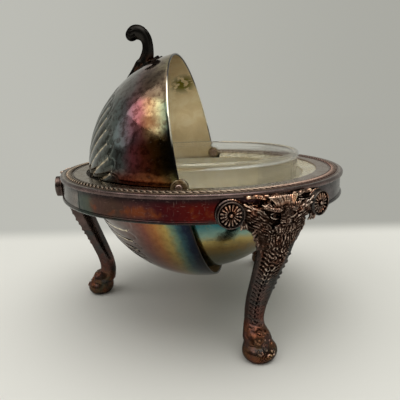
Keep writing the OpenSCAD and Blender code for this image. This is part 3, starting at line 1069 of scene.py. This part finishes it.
def build_thumbpiece():
    """An S-scroll that grows out of a leaf; y runs up the dome and z out of it."""
    clay = Clay((-10, -13, DOME_R - 3), (10, 19, DOME_R + 25), step=0.25)
    scroll = [
        (3.0, 1.0, 3.8), (-1.2, 3.8, 3.6), (-4.0, 7.2, 3.0), (-5.6, 10.8, 2.8), (-5.8, 14.2, 3.0),
        (-4.5, 17.0, 3.5), (-2.2, 18.6, 3.6), (0.2, 18.3, 3.2),
    ]
    line = curve_through(scroll, 6)
    for a, b in zip(line[:-1], line[1:]):
        clay.rod((0, a[0], DOME_R + a[1]), (0, b[0], DOME_R + b[1]), a[2], b[2], 0.4)
    # flatter across than in profile
    _, x, y, z = clay.everywhere()
    clay.far += (0.14 * np.abs(x)).astype(np.float32)
    for side in (-1, 1):
        spine = [(side * 1.5, v - 2.3, DOME_R + w + 0.6) for v, w, _ in scroll[1:7]]
        clay.lock(spine, 0.5, 0.4, 0.4)
        ring = []
        for t in np.linspace(0.5, 6.2, 9):
            ring.append((side * 2.6, -0.8 + 1.7 * math.cos(t), DOME_R + 18.3 + 1.7 * math.sin(t)))
        clay.lock(ring, 0.35, 0.3, 0.2, 4, True)
        # the leaf's tail, in two blades that lie back along the dome
        tail = []
        for v, rise in ((3.0, 3.6), (6.5, 2.3), (10.5, 1.3), (15.8, 0.5)):
            tail.append((side * 1.1, v, math.sqrt((DOME_R + rise) ** 2 - v ** 2)))
        clay.lock(tail, 1.9, 0.55, 0.5)
    clay_leaf(clay)
    reach = np.sqrt(x ** 2 + y ** 2 + z ** 2)
    clay.keep_within(DOME_R + 0.02 - reach)
    obj = clay.mesh("thumbpiece_casting", on_dome(THUMB_ANGLE))
    keep(obj, "dome", "thumb_casting", "thumbpiece")


def clay_leaf(clay):
    """Blades that lie on the dome round the scroll's foot, each with a vein."""
    part, x, y, z = clay.everywhere()
    reach = np.sqrt(x ** 2 + y ** 2 + z ** 2)
    blades = [(0, 3.0, 3.4, 8.4, 0), (0, -4.4, 2.8, 5.0, 0)]
    for side in (-1, 1):
        blades.append((side * 4.4, -4.8, 1.9, 5.6, side * 44))
        blades.append((side * 3.4, 2.4, 1.7, 4.6, side * 24))
    for u, v, half, length, turn in blades:
        c, s = math.cos(math.radians(turn)), math.sin(math.radians(turn))
        a = ((x - u) * c + (y - v) * s) / half
        b = (-(x - u) * s + (y - v) * c) / length
        out = (np.sqrt(a * a + b * b) - 1) * half
        vein = 0.3 * np.exp(-((a * half) / 0.5) ** 2)
        rise = np.abs(reach - DOME_R - 0.6) - 0.75 - vein
        clay.put(part, np.maximum(out, rise), 0.35)


# ---- legs ----

# heights up the limb, and how far out its front and back are and how wide its half is there
FRONT = ([0, 2, 5, 8, 10.5, 12.6, 15.5, 19.4, 25.4, 33.4, 42, 49, 55, 61, 67, 73, 79.6],
         [71.5, 72.5, 72.6, 71.2, 68.8, 66.4, 64.9, 64.7, 66, 69, 73, 76.6, 79, 80, 79.8, 78.6, 77])
BACK = ([0, 11, 16, 22, 29, 39, 51, 63.5, 68.7, 80],
        [60, 56.6, 55.9, 56.9, 59.5, 63.5, 68.1, 72.6, 74, 74.6])
HALF = ([0, 11, 14, 17, 22, 30, 38, 46, 54, 59, 64, 70, 80],
        [6.5, 5.6, 4.5, 4.2, 4.7, 5.7, 6.2, 6.8, 7.5, 8.6, 10.6, 13.0, 13.5])


# the textured strip down the limb is off its middle by this part of its half width
STRIP_OFF = 0.26
# how far to each side the cuffs are
CUFF_Y = 21.5


def build_legs():
    """One leg, sculpted where its front faces +X, then copied round the ring."""
    clay = Clay((53, -29, -1.2), (84.5, 29, 82.5), step=0.3)
    sculpt_limb(clay)
    sculpt_paw(clay)
    sculpt_head(clay)
    comb_mane(clay)
    for side in (-1, 1):
        sculpt_locks(clay, side)
        wrinkle_face(clay, side)
        sculpt_eye(clay, side)
    sculpt_muzzle(clay)
    sculpt_tuft(clay)
    sculpt_neck(clay)
    for side in (-1, 1):
        sculpt_rosette(clay, side * ROSETTE_ANGLE)
    trim_to_ring(clay)
    leg = clay.mesh("leg_casting_front_left")
    mesh = leg.data
    mark_plain(mesh)
    # the castings lean a little to one side, about a point near mid height
    lean, shift = 0.030, -1.25 * MM
    mesh.transform(Matrix(((1, 0, 0, 0), (0, 1, lean, shift), (0, 0, 1, 0), (0, 0, 0, 1))))
    for name in ("front_right", "back"):
        obj = linked("leg_casting_" + name, mesh.copy())
        obj.data.transform(on_leg(LEG_ANGLES[name]))
        keep(obj, "stand", "leg_casting", "leg_" + name)
    mesh.transform(on_leg(LEG_ANGLES["front_left"]))
    keep(leg, "stand", "leg_casting", "leg_front_left")


def mark_plain(mesh):
    """Marks the smooth places: the limb's borders, flanks and back, the paw's sides, the cuffs."""
    spots = np.array([v.co for v in mesh.vertices]) / MM
    x, y, z = spots.T
    front, back, half = (profile(z, *line) for line in (FRONT, BACK, HALF))
    depth = (front - x) / (front - back)
    flank = ease(np.maximum(np.abs(y / half + STRIP_OFF) - 0.66, 1.2 * (depth - 0.35)), 0.12)
    limb = flank * ease(60 - z, 4) * ease(z - 10, 4)
    paw = np.clip(np.maximum((np.abs(y) - 5.2) / 1.5, (65.5 - x) / 2), 0, 1)
    paw = paw * ease(14 - z, 4) * ease(z - 1.5, 2)
    from_cuff = np.hypot(np.abs(y) - CUFF_Y, z - ROSETTE_Z)
    cuff = ease(5.9 - from_cuff, 0.3) * ease(from_cuff - 4.6, 0.3)
    hidden = ease(73.5 - x, 2)
    plain = np.clip(limb + paw + cuff + hidden, 0, 1)
    set_attribute(mesh, "plain", plain)


def sculpt_limb(clay):
    """The cabriole limb: smooth borders with a textured hollow between them down the front."""
    low, high = 9.0, 76.0
    part, x, y, z = clay.window((52, -20, low - 3), (83, 20, high))
    front, back, half = (profile(z, *line) for line in (FRONT, BACK, HALF))
    middle, thick = (front + back) / 2, (front - back) / 2
    a, b = (x - middle) / thick, y / half
    squareness = 2.6
    near = (np.abs(a) ** squareness + np.abs(b) ** squareness) ** (1 / squareness)
    distance = (near - 1) * np.minimum(thick, half)
    distance = np.maximum(distance, np.maximum(low - z, z - high))
    clay.put(part, distance, 0.5)
    # the hollow, with hair combed up it in chevrons
    inside = ease(0.68 - np.abs(b + STRIP_OFF), 0.10) * np.clip(2 * a, 0, 1)
    inside = inside * ease(z - 12, 4) * ease(58 - z, 4)
    hair = np.abs(np.sin(z * 1.55 - np.abs(y) * 0.9 + 0.6 * np.sin(y * 1.3)))
    clay.far[part] += inside * (0.70 - 0.50 * hair)
    # a row of drilled beads on one side of the middle, and locks on the other
    for height in np.arange(17.5, 49, 2.5):
        width = profile(height, *HALF)
        skin = profile(height, *FRONT) - 0.75
        clay.ball((skin, -0.50 * width, height), (1.1, 1.2, 1.1), 0.3)
        clay.ball((skin + 0.9, -0.50 * width, height + 0.1), (1.5, 0.62, 0.75), 0.15, True)
        lock = [
            (skin + 0.2, -0.22 * width, height - 0.8), (skin + 0.45, -0.04 * width, height + 0.4),
            (skin + 0.2, 0.26 * width, height + 2.4),
        ]
        clay.lock(lock, 0.6, 0.3, 0.25, 4)
    # a few blunt scales down the other edge
    for k, height in enumerate((34.5, 37.2, 40.5, 43.1, 46.5, 49.4, 53.2)):
        width = profile(height, *HALF)
        skin = clay.skin(0.78 * width, height) - 0.5
        clay.ball((skin, 0.80 * width, height), (0.7, 0.9, 0.8 + 0.2 * math.sin(2.7 * k)), 0.4)


def sculpt_paw(clay):
    """A broad smooth paw with curls on its instep and toes along its front."""
    clay.ball((66.4, 0, 3.9), (7.6, 8.3, 5.6), 1.0)
    clay.ball((63.6, 0, 8.2), (5.0, 6.0, 5.4), 2.5)
    clay.ball((66.6, 0, 9.2), (3.6, 4.4, 4.2), 2.5)
    # toes: low ridges round the front, with a groove between each two
    for k in range(6):
        a = math.radians(-55 + 22 * k)
        foot = (65.6 + 8.4 * math.cos(a), 8.4 * math.sin(a), 0.4)
        top = (65.2 + 7.4 * math.cos(a), 7.5 * math.sin(a), 3.4)
        clay.rod(foot, top, 0.42, 0.25, 0.5, True)
    # curls on the instep
    curls = [
        (-1.8, 17.0, 1.3), (1.6, 15.4, 1.3), (-1.4, 13.4, 1.4), (2.0, 12.4, 1.3), (0.2, 10.8, 1.5),
        (-2.8, 10.2, 1.4), (2.8, 9.2, 1.4), (-0.4, 7.6, 1.5), (-3.0, 6.4, 1.2), (2.4, 5.8, 1.3),
        (0.2, 4.6, 1.2),
    ]
    for k, (lateral, height, r) in enumerate(curls):
        clay.curl(lateral, height, r, 0.42, 1.9 * k)
    part, _, _, z = clay.window((50, -14, -2), (84, 14, 2))
    clay.far[part] = np.maximum(clay.far[part], (-z).astype(np.float32))


def sculpt_head(clay):
    """The mask's broad forms: forehead, cheeks, long muzzle, and the mane out to the cuffs."""
    clay.ball((73.6, 0, 69.5), (5.4, 11.0, 10.5), 1.5)
    clay.ball((75.8, 0, 75.4), (3.9, 7.4, 4.4), 1.2)
    for side in (-1, 1):
        clay.rod((74.4, side * 6, 71.4), (72.4, side * 17, 73.4), 4.4, 4.0, 1.5)
        clay.rod((73.2, side * 9, 66.5), (70.8, side * 17.4, 70.4), 3.2, 1.8, 1.5)
        clay.ball((75.6, side * 6.2, 68.0), (3.6, 4.0, 4.6), 1.2)
        clay.ball((77.6, side * 3.8, 74.6), (2.6, 3.0, 1.7), 0.8)
        clay.ball((79.2, side * 8.7, 77.0), (3.4, 3.1, 1.25), 0.5, True)
        clay.rod((77.4, side * 6.4, 79.0), (76.4, side * 14.0, 79.4), 0.9, 1.0, 0.4)
    clay.ball((78.2, 0, 66.6), (3.4, 3.9, 4.6), 1.0)
    clay.lock([(79.3, 0, 75.4), (80.0, 0, 72.6), (80.9, 0, 69.6)], 1.9, 2.3, 1.0, 4)


def comb_mane(clay):
    """Hair combed outwards from the face in waves."""
    part, x, y, z = clay.window((68, -24, 50), (84, 24, 80.5))
    side, rise = np.abs(y), z - 71.5
    out = np.sqrt(side ** 2 + rise ** 2) + 1e-6
    turn = np.arctan2(rise, side)
    phase = 15 * turn + 0.8 * np.sin(0.55 * out + 3 * turn) + 0.28 * out
    hair = np.abs(np.sin(phase)) * (0.8 + 0.4 * np.sin(1.2 * out + 11 * turn))
    strength = ease(out - 8.0, 2.0) * np.clip(rise - 0.62 * np.maximum(side - 5.4, 0) + 0.5, 0, 1)
    strength = strength * ease(x - 71, 3)
    clay.comb(part, strength, 0.34, 0.7, hair)
    # wavy hair that leans down the neck
    strand = np.abs(np.sin(2.3 * y + 1.3 * z + 0.7 * np.sin(0.8 * z) + 0.8 * np.sin(1.1 * y)))
    strength = ease(60 - z, 3) * ease(z - 50, 4)
    strength = strength * ease(6.8 - side, 1.5) * ease(x - 73, 3)
    clay.comb(part, strength, 0.22, 0.46, strand)


def wrinkle_face(clay, side):
    """Fine parallel folds that slope down from the ear and run level below the eye."""
    eye_y, eye_z = side * 4.2, 71.7
    part, x, y, z = clay.window((72, -16, 58), (84, 16, 80))
    across = side * (y - eye_y)
    rise = z - eye_z
    line = rise - 0.62 * np.maximum(across - 1.2, 0) - 0.25 * np.maximum(-across, 0)
    line = line + 0.25 * np.sin(1.7 * across) + 0.2 * np.sin(0.8 * rise - 0.6 * across)
    fold = np.abs(np.sin(math.pi * line / 1.2)) ** 0.8
    fold = fold * (0.95 + 0.3 * np.sin(1.3 * across + 2.1 * rise))
    away = np.sqrt((across / 1.3) ** 2 + (rise - 0.2 * across) ** 2)
    strength = ease(away - 1.5, 0.8) * ease(10.5 - away, 2.0)
    strength = strength * ease(side * y - 0.9, 0.8) * ease(0.8 - line, 0.8)
    strength = strength * ease(x - 73, 2)
    clay.comb(part, strength, 0.20, 0.42, fold)


def sculpt_eye(clay, side):
    """A small dark eye between soft lids, under a heavy knobbed brow."""
    eye = np.array([79.6, side * 4.2, 71.6])
    clay.ball(eye + [1.3, side * 0.2, 0], (2.4, 2.1, 1.35), 0.5, True)
    clay.ball(eye + [-0.3, 0, 0], (1.0, 0.95, 0.85), 0.12)
    clay.ball(eye + [0.7, 0, 0], (0.45, 0.36, 0.36), 0.08, True)
    for lift in (1, -1):
        lid = []
        for t in np.linspace(0.35, 2.8, 6):
            across, bow = -2.0 * math.cos(t), math.sin(t)
            lid.append(eye + [0.1 + 0.4 * bow, side * across, lift * 1.15 * bow + 0.2 * across])
        clay.lock(lid, 0.32, 0.26, 0.15, 3)
    clay.ball((80.7, side * 3.4, 74.1), (1.5, 2.0, 1.1), 0.6)
    brow = [(80.8, side * 4.6, 74.1), (80.0, side * 6.2, 74.5), (78.2, side * 8.4, 75.0)]
    clay.lock(brow, 0.8, 0.5, 0.5, 4)
    for k in range(6):
        root = (81.4 - 0.35 * k, side * (1.8 + 1.1 * k), 74.7 + 0.08 * k)
        clay.lock([root, (80.4 - 0.4 * k, side * (2.2 + 1.4 * k), 76.2)], 0.34, 0.24, 0.12, 2)


def sculpt_muzzle(clay):
    """A flat nose over two whisker pads, with wavy hair that hides the mouth and hangs below."""
    clay.ball((81.7, 0, 69.2), (1.2, 2.5, 1.0), 0.5)
    for side in (-1, 1):
        clay.ball((82.7, side * 1.5, 68.8), (0.9, 0.75, 0.5), 0.15, True)
        clay.ball((80.3, side * 2.4, 66.6), (1.8, 2.6, 2.0), 0.7)
        for k in range(4):
            frown = [
                (81.5 - 0.2 * k, side * (0.3 + 0.1 * k), 70.6 + 0.9 * k),
                (81.2 - 0.2 * k, side * (1.5 + 0.15 * k), 71.1 + 0.95 * k),
            ]
            clay.lock(frown, 0.26, 0.26, 0.1, 2)
    part, x, y, z = clay.window((72, -9, 56), (84, 9, 69))
    sway = 0.9 * np.sin(0.9 * z + 0.5 * np.abs(y))
    strand = 2.6 * y * (1 + 0.02 * (66 - z)) + sway + 0.5 * np.sin(2.1 * z)
    strength = ease(68.2 - z, 1.2) * ease(z - 57, 3)
    strength = strength * ease(7.5 - np.abs(y), 2) * ease(x - 73, 3)
    clay.comb(part, strength, 0.22, 0.5, np.abs(np.sin(strand)))
    roots = [(-2.6, 62.4), (-0.9, 61.4), (0.8, 62.8), (2.4, 61.6), (0.1, 59.8)]
    for k, (lateral, height) in enumerate(roots):
        skin = clay.skin(lateral, height)
        hair = [
            (skin - 0.1, lateral, height + 1.6),
            (skin + 0.4, lateral + 0.3 * math.sin(2 * k), height),
            (skin - 0.3, 1.2 * lateral, height - 1.8),
        ]
        clay.lock(hair, 0.42, 0.22, 0.2, 4)


def sculpt_tuft(clay):
    """Fine hair that rises from the brow and spreads under the ring's lip."""
    for k in range(15):
        a = (k - 7) / 7
        root = (80.6 - 0.6 * a * a, 3.6 * a, 75.4 - 0.4 * a * a)
        mid = (80.9 - 0.7 * a * a, 4.5 * a + 0.25 * math.sin(2.4 * k), 77.2)
        end = (79.9 - 0.9 * a * a, 6.6 * a, 79.4 - 0.3 * a * a)
        clay.lock([root, mid, end], 0.42, 0.34, 0.12, 4)


def sculpt_locks(clay, side):
    """Long fine locks from beside the eye to the cuff, and from the cheek down to the limb."""
    for k in range(4):
        root = (78.8 - 0.2 * k, side * (8.6 + 0.2 * k), 73.6 - 0.9 * k)
        mid = (78.2 - 0.2 * k, side * (11.8 + 0.2 * k), 74.4 - 0.9 * k)
        end = (77.0 - 0.25 * k, side * (16.4 + 0.1 * k), 77.0 - 1.2 * k)
        clay.lock([root, mid, end], 0.46, 0.34, 0.25, 5)
    for k in range(8):
        sway = 0.5 * math.sin(2.2 * k)
        root = (78.2 - 0.2 * k, side * (10.6 - 0.55 * k), 67.4 - 1.25 * k + sway)
        mid = (77.4 - 0.2 * k, side * (12.0 - 0.75 * k + 0.4 * sway), 65.4 - 1.5 * k)
        end = (75.8 - 0.4 * k, side * (11.6 - 0.85 * k), 63.6 - 1.8 * k - sway)
        clay.lock([root, mid, end], 0.52, 0.32, 0.25, 5)
    for k in range(4):
        across = 7.6 + 2.0 * k
        height = 70.0 + 0.62 * (across - 6) - 1.1 * math.sin(2.6 * k + side)
        skin = clay.skin(side * across, height) + 0.1
        stray = [
            (skin, side * (across - 1.4), height - 1.1), (skin, side * across, height + 0.2),
            (skin - 0.3, side * (across + 1.5), height + 0.6),
        ]
        clay.lock(stray, 0.34, 0.24, 0.2, 4)
    # a small tassel below the cuff
    for k in range(3):
        tassel = [
            (76.0, side * (16.4 + 0.8 * k), 70.6), (77.0, side * (15.4 + 1.0 * k), 68.4),
            (76.6, side * (14.6 + 1.3 * k), 66.8),
        ]
        clay.lock(tassel, 0.55, 0.32, 0.4, 4)


def sculpt_neck(clay):
    """Loose curls below the chin."""
    curls = [
        (-3.4, 57.4, 1.3), (1.2, 56.4, 1.4), (-2.4, 53.2, 1.3), (3.2, 54.4, 1.1), (0.6, 51.4, 1.1),
    ]
    for k, (lateral, height, r) in enumerate(curls):
        clay.curl(lateral, height, r, 0.32, 2.3 * k)


def sculpt_rosette(clay, angle):
    """A cuff which stands out from the band, with a petalled rosette sunk in its end."""
    outer, inner = 5.45, 5.0
    end = 79.3
    clay.drum(ROSETTE_Z, angle, outer, 73.0, end, 0.6)
    clay.drum(ROSETTE_Z, angle, inner, end - 1.3, end + 2, 0.15, True)
    c, s = math.cos(math.radians(angle)), math.sin(math.radians(angle))
    part, x, y, z = clay.window((70, -28.5, ROSETTE_Z - 6.5), (83, 28.5, ROSETTE_Z + 6.5))
    out = x * c + y * s
    u, v = y * c - x * s, z - ROSETTE_Z
    away = np.sqrt(u * u + v * v)
    petals = 16
    crown = np.abs(np.sin(petals / 2 * np.arctan2(v, u))) ** 0.6
    rise = end - 1.3 + 1.15 * crown * ease(away, 1.8) - 0.05 * away
    disc = np.maximum(away - (4.15 + 0.3 * crown), np.maximum(out - rise, end - 3 - out) * 0.7)
    clay.put(part, disc, 0.12)
    clay.ball((c * (end - 0.3), s * (end - 0.3), ROSETTE_Z), 0.8, 0.12)
    # the cuff's collar where it meets the mask
    r, at = outer + 0.1, end - 3.2
    ring = []
    for t in np.linspace(0, 2 * math.pi, 19):
        level = r * math.cos(t)
        ring.append((c * at - s * level, s * at + c * level, ROSETTE_Z + r * math.sin(t)))
    clay.lock(ring, 0.45, 0.45, 0.4, 2)


def trim_to_ring(clay):
    """Fits the casting to the outside of the band and the underside of the lip."""
    _, x, y, z = clay.everywhere()
    out = np.sqrt(x * x + y * y)
    inside_band = np.minimum(BAND_R - out, z - BAND_LOW)
    clay.keep_within(inside_band)
    lip_low = RING_TOP - 1.95
    under_lip = np.minimum(LIP_R + 0.05 - out, z - lip_low)
    clay.keep_within(under_lip)


# ---- studio ----

# which way the camera looks, round from +X
HEADING = math.radians(8.78)
AHEAD = (math.cos(HEADING), math.sin(HEADING), 0)
LEFT = (-math.sin(HEADING), math.cos(HEADING), 0)
BLACK = (0.0, 0.0, 0.0)


def build_camera():
    position = Vector((-222.82, -33.34, 115.14)) * MM
    pitch, roll = math.radians(13.577), math.radians(-1.415)
    forward = Vector((math.cos(pitch) * AHEAD[0], math.cos(pitch) * AHEAD[1], -math.sin(pitch)))
    level = -Vector(LEFT)
    above = level.cross(forward)
    right = level * math.cos(roll) + above * math.sin(roll)
    up = above * math.cos(roll) - level * math.sin(roll)
    camera = linked("camera", bpy.data.cameras.new("camera"))
    camera.data.lens = 36
    camera.data.sensor_width = 36
    camera.data.clip_start = 0.01
    camera.matrix_world = placed(position, right, up, -forward)
    bpy.context.scene.camera = camera


def placed(position, right, up, back):
    """The matrix of a camera or light, from its place and the ways that its axes point."""
    return Matrix.Translation(position) @ Matrix((right, up, back)).transposed().to_4x4()


def wall_light(paint):
    """The backdrop's grey, behind the bowl paler towards +Y than towards -Y."""
    slant = paint.along(LEFT) / paint.along(AHEAD).at_least(0.01)
    return paint.mix(slant.fade(-0.55, 0.55), (0.400, 0.400, 0.362), (0.505, 0.505, 0.462))


def build_world():
    """A grey room, dim on one side, for light and reflections; the camera sees a plain backdrop."""
    world = bpy.data.worlds.new("studio")
    bpy.context.scene.world = world
    world.use_nodes = True
    paint = Paint(world.node_tree, "Background", "Generated")
    up = paint.z
    room = paint.mix(up.fade(0.3, 0.62), (0.455, 0.455, 0.415), (0.34, 0.34, 0.31))
    room = paint.mix(up.fade(0.80, 0.95), room, (1.5, 1.48, 1.4))
    dim_at = math.radians(146)
    dim_side = paint.along((math.cos(dim_at), math.sin(dim_at), 0)).fade(0.25, 0.75)
    room = paint.mix(dim_side * up.fade(0.62, 0.40), room, (0.13, 0.125, 0.115))
    doorway = paint.along((-0.11, 0.91, 0.39)).fade(0.965, 0.985) * up.fade(0.2, 0.3)
    room = paint.mix(doorway, room, (0.75, 0.76, 0.74))
    seen = paint.new("ShaderNodeLightPath", get="Is Camera Ray")
    paint.shade({"Color": paint.mix(seen, room, wall_light(paint))})


def floor_paint(paint):
    """Pale, turning into the backdrop's grey behind the bowl and far away all round, where it is
    black and glows with that grey, a painted light.
    """
    far = paint.reach((0, 0, 0)).fade(600, 1300)
    edge = paint.along(AHEAD).fade(108, 150).at_least(far)
    pale = paint.noise(0.004).ramp((0, 0.70, 0.695, 0.665), (1, 0.76, 0.76, 0.73))
    # beyond the edge the floor glows with the backdrop's grey: painted light from a surface that is
    # no lamp
    paint.shade({
        "Base Color": paint.mix(edge, pale, BLACK), "Roughness": 0.9, "Specular IOR Level": 0.0,
        "Emission Color": paint.mix(edge, BLACK, wall_light(paint)), "Emission Strength": 1.0,
    })


def build_floor():
    size, count = 3000, 24
    line = np.linspace(-size, size, count + 1)
    points = [(x, y, 0) for x in line for y in line]
    corners = [i * (count + 1) + j for i in range(count) for j in range(count)]
    faces = [[k, k + count + 1, k + count + 2, k + 1] for k in corners]
    floor = make_object("floor", points, faces)
    if floor.data.polygons[0].normal.z < 0:
        floor.data.flip_normals()
    floor.data.materials.append(painted("floor", floor_paint))


def add_light(name, facing, corner, level, width, height, distance, radiance, colour):
    """A flat soft light that faces back along a direction.

    Its first corner lies in the corner direction, and its lower edge runs to the level direction.
    """
    light = bpy.data.lights.new(name, "AREA")
    light.shape = "RECTANGLE"
    light.size, light.size_y = width, height
    light.energy = radiance * math.pi * width * height
    light.color = colour
    facing, corner, level = (Vector(v).normalized() for v in (facing, corner, level))
    start = corner * distance / corner.dot(facing)
    across = (level * distance / level.dot(facing) - start).normalized()
    up = facing.cross(across)
    middle = start + across * width / 2 + up * height / 2
    linked(name, light).matrix_world = placed(middle, across, up, facing)


build_camera()
build_world()
build_floor()
add_light(
    "window", facing=(0.03, 0.80, 0.60), corner=(0.02, 0.80, 0.60), level=(-0.74, 0.42, 0.52),
    width=1.7, height=0.66, distance=1.3, radiance=1.4, colour=(1.0, 0.98, 0.95),
)
add_light(
    "overhead", facing=(-0.1, -0.3, 1), corner=(0.35, -0.85, 1), level=(0.35, 0.2, 1),
    width=1.6, height=1.6, distance=1.6, radiance=1.35, colour=(1.0, 0.995, 0.97),
)
bpy.context.scene.view_settings.view_transform = "Standard"

build_flange()
build_rope()
build_band()
build_bead_wire()
build_bowl()
build_collar()
build_glass()
build_dome()
build_pivots()
build_screws()
build_thumbpiece()
build_legs()
